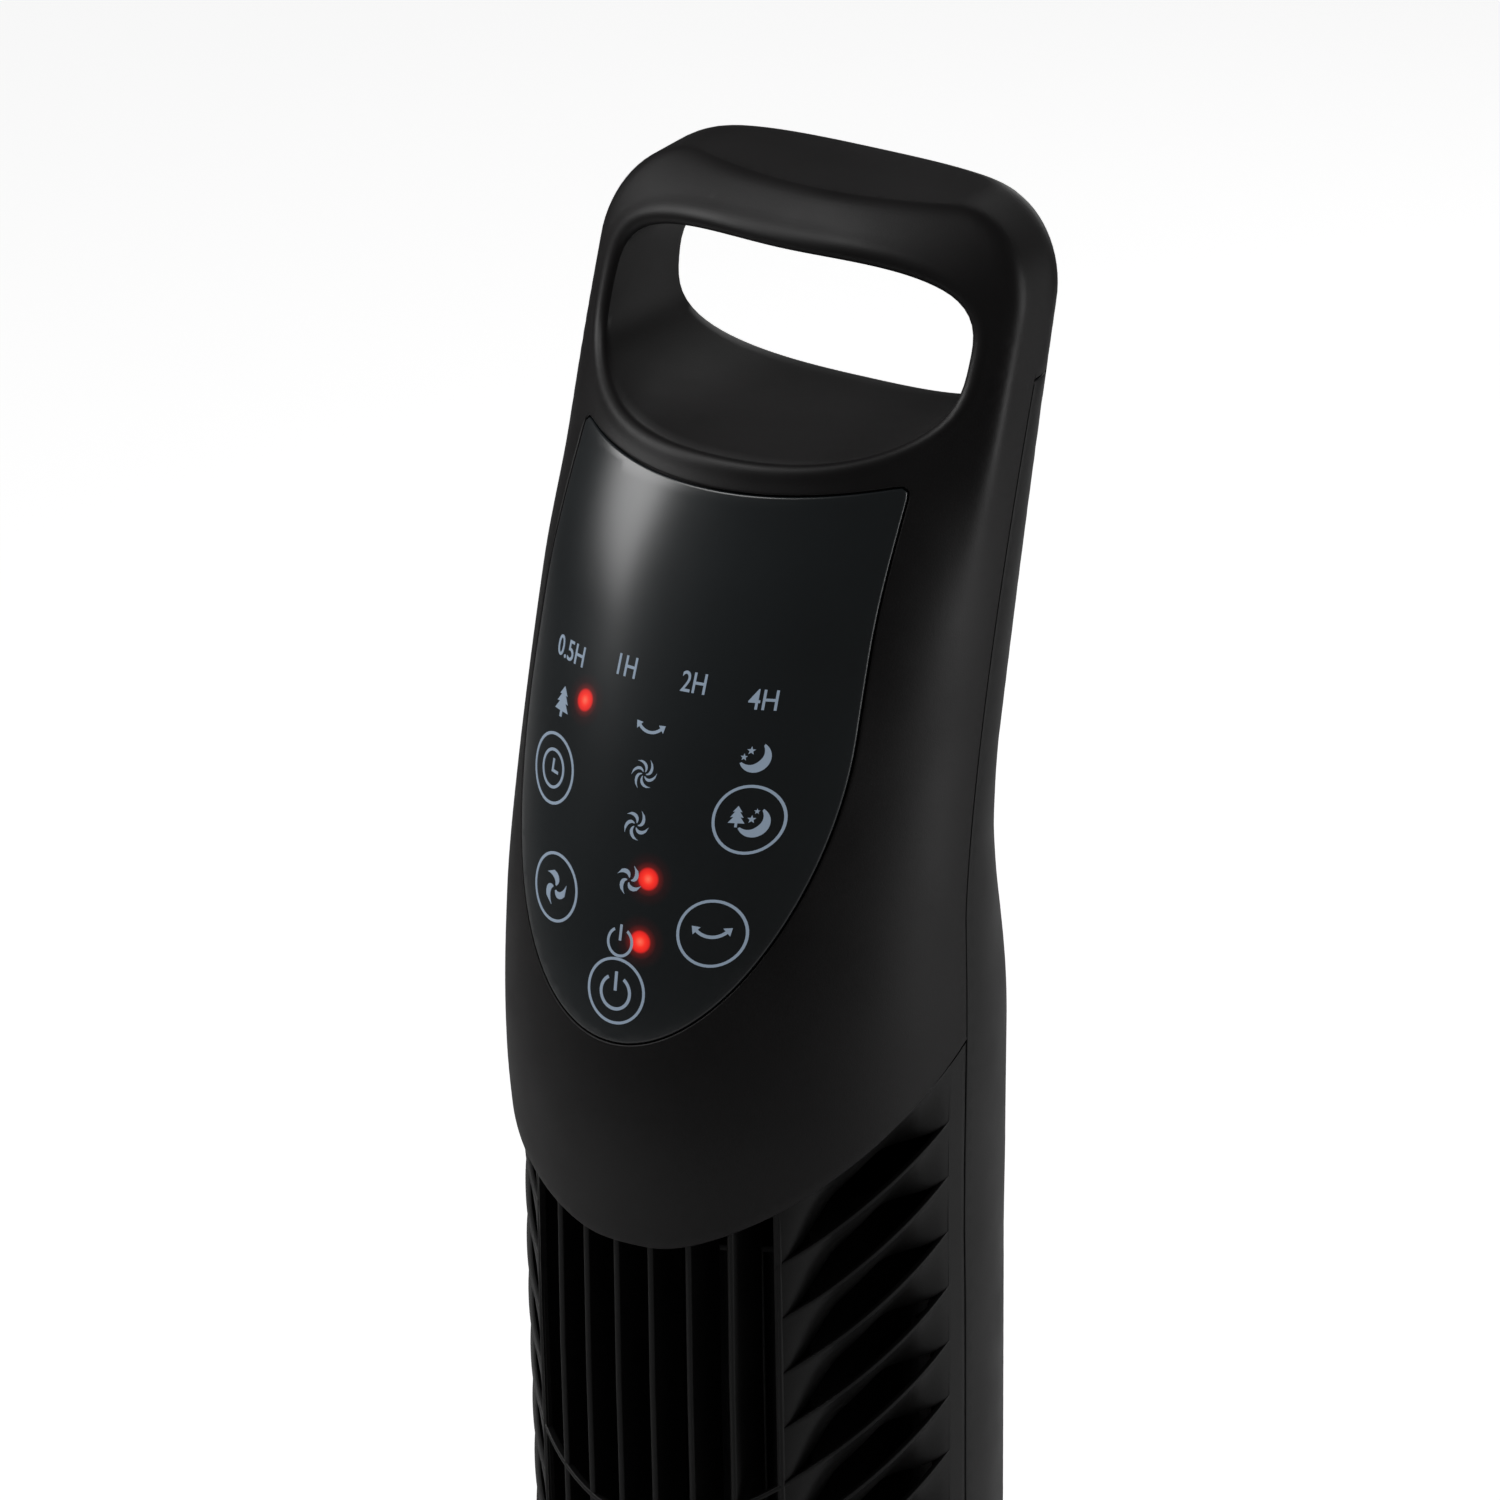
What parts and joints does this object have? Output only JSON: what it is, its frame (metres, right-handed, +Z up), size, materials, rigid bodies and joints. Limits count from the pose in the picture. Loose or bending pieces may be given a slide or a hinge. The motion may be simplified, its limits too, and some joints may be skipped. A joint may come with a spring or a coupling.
{
  "type": "tower fan",
  "caption": "Slim oscillating tower fan with a grilled round column, a leaning head with a glossy touch panel and carry handle, and a weighted round base.",
  "frame": {"origin": "middle of the footprint, on the surface that the rubber feet stand on", "axes": "+Z up along the column, -Y towards the front of the fan (control lens and air outlet), +X to the right seen from the front"},
  "size_m": [0.29, 0.29, 0.9146],
  "materials": {
    "housing_plastic": "satin, fine moulded texture",
    "grille_plastic": "satin",
    "base_plastic": "satin",
    "ballast_iron": "rough",
    "rubber": "matt",
    "screw_steel": "zinc plated",
    "dark_screw_steel": "blackened",
    "bearing_plastic": "smooth",
    "motor_steel": "plated sheet",
    "shaft_steel": "ground",
    "laminations": "stacked sheet",
    "copper_wire": "enamelled copper wire",
    "circuit_board": "solder mask",
    "capacitor_case": "smooth",
    "impeller_plastic": "satin",
    "bronze": "sintered",
    "lens_gloss": "high gloss, smoked",
    "spring_wire": "plated wire",
    "led_red": "lit red lens",
    "black_component": "moulded"
  },
  "bodies": {
    "base": {"base_cover": "housing_plastic", "base_plate": "base_plastic", "ballast": "ballast_iron", "rubber_feet": "rubber", "base_screws": "screw_steel", "spindle_bush": "bearing_plastic", "slide_ring": "bearing_plastic", "swing_motor": "motor_steel"},
    "tower": {"turntable": "housing_plastic", "spindle_clip": "screw_steel", "turntable_screws": "screw_steel", "lower_shroud": "housing_plastic", "cord_gland": "rubber", "motor_housing": "motor_steel", "motor_stator": "laminations", "motor_windings": "copper_wire", "motor_plate": "motor_steel", "rubber_mounts": "rubber", "main_board": "circuit_board", "run_capacitor": "capacitor_case", "duct_floor": "housing_plastic", "duct_scroll": "housing_plastic", "duct_tongue": "housing_plastic", "bearing_bracket": "housing_plastic", "upper_bearing": "bronze", "rear_shell": "housing_plastic", "rear_grille": "grille_plastic", "front_grille": "grille_plastic", "front_shell": "housing_plastic", "control_lens": "lens_gloss", "control_board": "circuit_board", "touch_springs": "spring_wire", "indicator_leds": "led_red", "ir_receiver": "black_component", "buzzer": "black_component", "shell_screws": "dark_screw_steel"},
    "rotor": {"motor_shaft": "shaft_steel", "motor_core": "laminations", "drive_hub": "rubber", "impeller": "impeller_plastic", "impeller_stub": "shaft_steel"},
    "crank": {"crank_arm": "bearing_plastic", "crank_pin": "shaft_steel"}
  },
  "joints": [
    {"name": "tower_swing", "type": "hinge", "parent": "base", "child": "tower", "pos_m": [0, 0, 0.06], "axis": [0, 0, 1], "range_deg": [-35, 35]},
    {"name": "fan_spin", "type": "hinge", "parent": "tower", "child": "rotor", "pos_m": [0, 0, 0.3], "axis": [0, 0, 1], "continuous": true},
    {"name": "crank_turn", "type": "hinge", "parent": "base", "child": "crank", "pos_m": [0, 0.035, 0.05], "axis": [0, 0, 1], "continuous": true}
  ]
}
